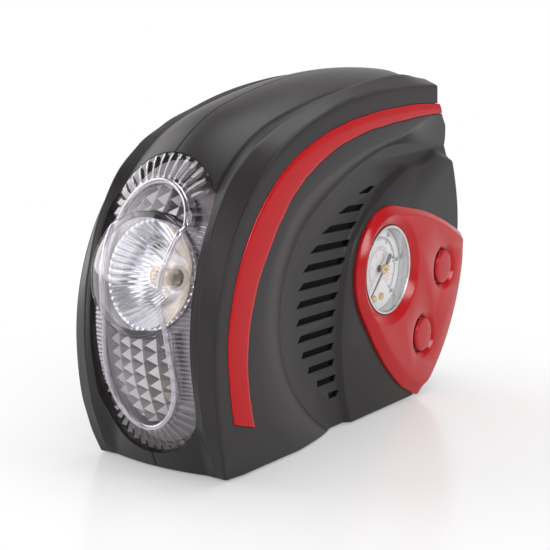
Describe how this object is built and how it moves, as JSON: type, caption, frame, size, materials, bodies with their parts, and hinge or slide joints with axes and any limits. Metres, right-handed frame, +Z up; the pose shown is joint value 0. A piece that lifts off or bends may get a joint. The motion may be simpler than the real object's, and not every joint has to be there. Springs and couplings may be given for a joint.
{
  "type": "portable tire inflator",
  "caption": "Upright electric tyre inflator with a front work lamp, side pressure gauge, push buttons, vented two-part housing and a geared piston pump inside.",
  "frame": {"origin": "on the floor under the middle of the whole part", "axes": "+Z up, -Y towards the lamp, +X towards the gauge; x = 0 is the plane where the two housing halves meet"},
  "size_m": [0.0768, 0.2355, 0.171],
  "materials": {
    "housing_black": "fine textured satin",
    "red_gloss": "gloss",
    "clear_lens": "clear moulded plastic",
    "reflector_chrome": "bright plated",
    "bulb_glass": "clear glass",
    "holder_white": "satin",
    "inner_black": "satin",
    "smoke_lens": "smoky moulded plastic",
    "amber_lamp": "amber glass",
    "gauge_steel": "bright plated",
    "dial_white": "printed white",
    "needle_black": "satin",
    "brass": "machined",
    "tube_black": "matt",
    "steel": "zinc plated",
    "gear_nylon": "natural nylon",
    "cast_alloy": "die cast",
    "rubber_black": "matt"
  },
  "bodies": {
    "housing": {"right_shell": "housing_black", "left_shell": "housing_black", "right_stripe": "red_gloss", "left_stripe": "red_gloss", "control_panel": "red_gloss", "lamp_cover": "clear_lens", "lamp_bowl": "clear_lens", "lamp_tray": "reflector_chrome", "lamp_reflector": "reflector_chrome", "lamp_bulb": "bulb_glass", "bulb_holder": "holder_white", "lamp_carrier": "inner_black", "flash_lens": "smoke_lens", "flash_lamp": "amber_lamp", "gauge_case": "gauge_steel", "gauge_dial": "dial_white", "gauge_window": "clear_lens", "gauge_bezel": "gauge_steel", "gauge_elbow": "brass", "gauge_tube": "tube_black", "upper_switch": "inner_black", "lower_switch": "inner_black", "motor_can": "steel", "motor_end_cap": "inner_black", "gear_axle": "steel", "pump_frame": "cast_alloy", "pump_cylinder": "cast_alloy", "cylinder_head": "cast_alloy", "head_screws": "steel", "air_tee": "brass", "front_tube": "tube_black", "rear_tube": "tube_black", "air_outlet": "brass", "cord_gland": "rubber_black", "housing_screws": "steel", "rubber_feet": "rubber_black"},
    "upper_button_cap": {"upper_button": "red_gloss"},
    "lower_button_cap": {"lower_button": "red_gloss"},
    "needle": {"gauge_needle": "needle_black"},
    "crank": {"crank_gear": "gear_nylon"},
    "rotor": {"motor_shaft": "steel", "motor_pinion": "brass"},
    "piston": {"piston_rod": "cast_alloy", "piston_cup": "rubber_black"}
  },
  "joints": [
    {"name": "upper_button_press", "type": "slide", "parent": "housing", "child": "upper_button_cap", "axis": [-1, 0, 0], "range_m": [0, 0.0022], "stiffness_N_per_m": 400},
    {"name": "lower_button_press", "type": "slide", "parent": "housing", "child": "lower_button_cap", "axis": [-1, 0, 0], "range_m": [0, 0.0022], "stiffness_N_per_m": 400},
    {"name": "gauge_needle_turn", "type": "hinge", "parent": "housing", "child": "needle", "pos_m": [0, 0.0386, 0.072], "axis": [-1, 0, 0], "range_deg": [0, 270]},
    {"name": "crank_turn", "type": "hinge", "parent": "housing", "child": "crank", "pos_m": [0, -0.0034, 0.059], "axis": [0, 1, 0], "continuous": true},
    {"name": "rotor_turn", "type": "hinge", "parent": "housing", "child": "rotor", "pos_m": [0, 0.0276, 0.028], "axis": [0, 1, 0], "continuous": true},
    {"name": "piston_stroke", "type": "slide", "parent": "housing", "child": "piston", "axis": [0, 0, -1], "range_m": [0, 0.016]}
  ],
  "couplings": [
    {"joint": "crank_turn", "follows": "rotor_turn", "ratio": -0.24}
  ]
}
